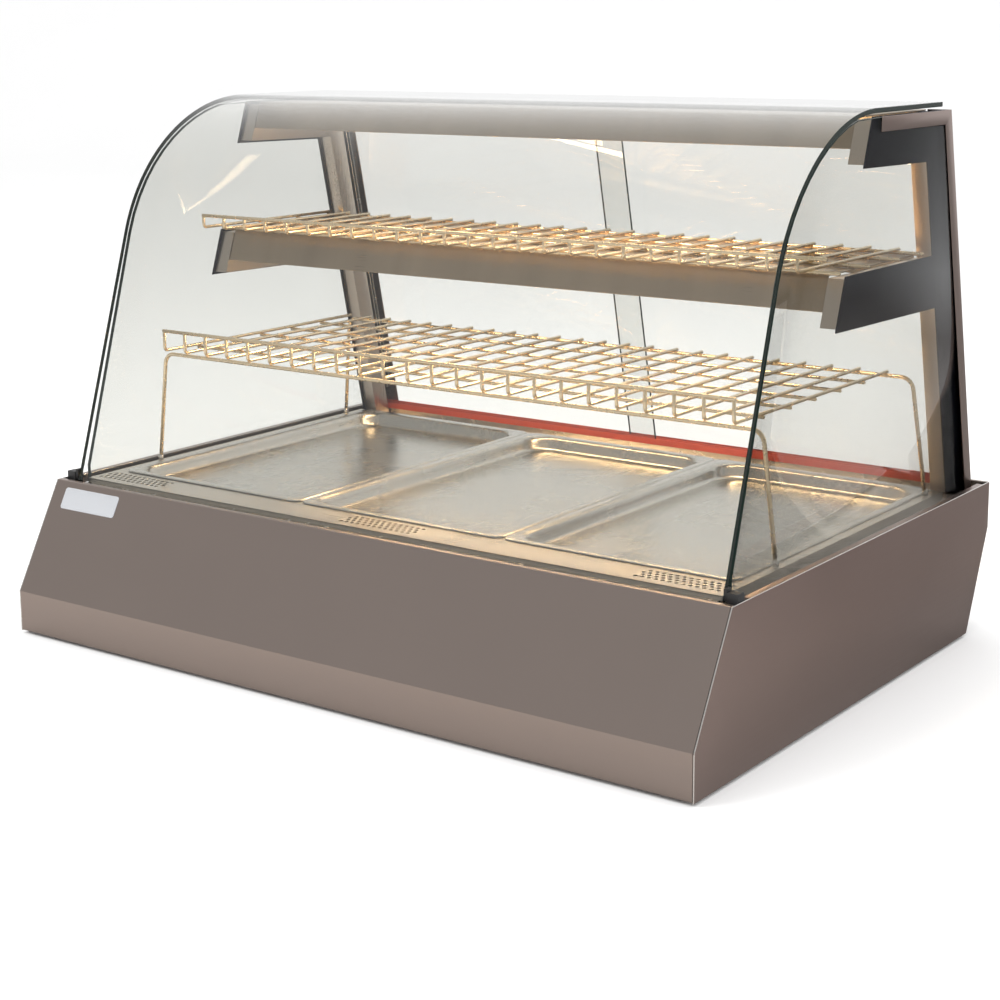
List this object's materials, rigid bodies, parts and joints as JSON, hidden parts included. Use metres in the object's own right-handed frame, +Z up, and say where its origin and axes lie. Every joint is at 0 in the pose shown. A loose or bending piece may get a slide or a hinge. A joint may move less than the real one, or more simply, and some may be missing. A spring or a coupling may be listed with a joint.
{
  "type": "heated display case",
  "caption": "Counter-top heated display case with a tilting curved front glass, two wire shelves, lift-out pans and sliding rear doors.",
  "frame": {"origin": "on the table, at the centre of the rectangle that the case covers", "axes": "+X along the case to the customer's right as they face it, +Y from the customer's side to the operator's side, +Z up"},
  "size_m": [1.066, 0.7962, 0.7155],
  "materials": {
    "brushed_panel": "brushed, taupe cast",
    "inner_steel": "brushed",
    "frame_steel": "satin",
    "pan_steel": "polished",
    "shelf_wire": "bright plated",
    "heater_sheath": "heat-darkened",
    "clear_glass": "clear, green at the edges",
    "black_cover": "smooth black",
    "black_plastic": "matt black",
    "red_plastic": "matt red",
    "amber_lens": "clear amber",
    "ceramic": "off-white",
    "lamp": "frosted tube with ceramic ends",
    "foot_rubber": "matt"
  },
  "bodies": {
    "case": {"base_front_panel": "brushed_panel", "base_side_panel_left": "brushed_panel", "base_side_panel_right": "brushed_panel", "base_rear_panel": "brushed_panel", "base_floor_pan": "inner_steel", "foot_front_left": "foot_rubber", "foot_front_right": "foot_rubber", "foot_rear_left": "foot_rubber", "foot_rear_right": "foot_rubber", "deck_frame": "inner_steel", "pan_crossbar_1": "inner_steel", "pan_crossbar_2": "inner_steel", "air_duct": "inner_steel", "fan_frame_1": "black_plastic", "fan_frame_2": "black_plastic", "fan_frame_3": "black_plastic", "heater_element_1": "heater_sheath", "heater_element_2": "heater_sheath", "heater_element_3": "heater_sheath", "thermostat_body": "ceramic", "pilot_lamp": "amber_lens", "switch_housing": "black_plastic", "cable_gland": "black_plastic", "terminal_block": "ceramic", "side_frame_left": "frame_steel", "side_frame_right": "frame_steel", "frame_cover_left": "black_cover", "frame_cover_right": "black_cover", "glass_trim_left": "brushed_panel", "glass_trim_right": "brushed_panel", "top_canopy": "frame_steel", "mid_canopy": "frame_steel", "lamp_top_left": "lamp", "lamp_top_right": "lamp", "lamp_mid_left": "lamp", "lamp_mid_right": "lamp", "end_glass_left": "clear_glass", "end_glass_right": "clear_glass", "pivot_block_left": "black_plastic", "pivot_block_right": "black_plastic", "lower_track": "red_plastic", "upper_track": "black_cover"},
    "front_window": {"front_glass": "clear_glass", "glass_clamp_left": "black_plastic", "glass_clamp_right": "black_plastic"},
    "left_door": {"door_left": "clear_glass", "door_grip_left": "frame_steel"},
    "right_door": {"door_right": "clear_glass", "door_grip_right": "frame_steel"},
    "pan_1": {"gn_pan_1": "pan_steel"},
    "pan_2": {"gn_pan_2": "pan_steel"},
    "pan_3": {"gn_pan_3": "pan_steel"},
    "shelf_upper": {"upper_shelf": "shelf_wire"},
    "shelf_lower": {"lower_shelf": "shelf_wire"},
    "knob": {"thermostat_knob": "black_plastic"},
    "power_switch": {"power_rocker": "red_plastic"},
    "light_switch": {"light_rocker": "black_plastic"},
    "impeller_1": {"fan_impeller_1": "black_plastic"},
    "impeller_2": {"fan_impeller_2": "black_plastic"},
    "impeller_3": {"fan_impeller_3": "black_plastic"}
  },
  "joints": [
    {"name": "front_glass_tilt", "type": "hinge", "parent": "case", "child": "front_window", "pos_m": [0, -0.29817, 0.20577], "axis": [1, 0, 0], "range_deg": [0, 60]},
    {"name": "door_left_slide", "type": "slide", "parent": "case", "child": "left_door", "axis": [1, 0, 0], "range_m": [0, 0.44]},
    {"name": "door_right_slide", "type": "slide", "parent": "case", "child": "right_door", "axis": [-1, 0, 0], "range_m": [0, 0.44]},
    {"name": "pan_1_lift", "type": "slide", "parent": "case", "child": "pan_1", "axis": [0, 0, 1], "range_m": [0, 0.016]},
    {"name": "pan_2_lift", "type": "slide", "parent": "case", "child": "pan_2", "axis": [0, 0, 1], "range_m": [0, 0.06]},
    {"name": "pan_3_lift", "type": "slide", "parent": "case", "child": "pan_3", "axis": [0, 0, 1], "range_m": [0, 0.016]},
    {"name": "upper_shelf_lift", "type": "slide", "parent": "case", "child": "shelf_upper", "axis": [0, 0, 1], "range_m": [0, 0.03]},
    {"name": "lower_shelf_lift", "type": "slide", "parent": "case", "child": "shelf_lower", "axis": [0, 0, 1], "range_m": [0, 0.05]},
    {"name": "thermostat_turn", "type": "hinge", "parent": "case", "child": "knob", "pos_m": [0.33, 0.385, 0.1705], "axis": [0, -1, 0], "range_deg": [0, 270]},
    {"name": "power_rock", "type": "hinge", "parent": "case", "child": "power_switch", "pos_m": [0.1985, 0.38085, 0.1705], "axis": [1, 0, 0], "range_deg": [0, 16]},
    {"name": "light_rock", "type": "hinge", "parent": "case", "child": "light_switch", "pos_m": [0.2215, 0.38085, 0.1705], "axis": [1, 0, 0], "range_deg": [0, 16]},
    {"name": "fan_1_spin", "type": "hinge", "parent": "case", "child": "impeller_1", "pos_m": [-0.438, -0.26015, 0.14], "axis": [0, 0, 1], "continuous": true},
    {"name": "fan_2_spin", "type": "hinge", "parent": "case", "child": "impeller_2", "pos_m": [0, -0.26015, 0.14], "axis": [0, 0, 1], "continuous": true},
    {"name": "fan_3_spin", "type": "hinge", "parent": "case", "child": "impeller_3", "pos_m": [0.438, -0.26015, 0.14], "axis": [0, 0, 1], "continuous": true}
  ]
}
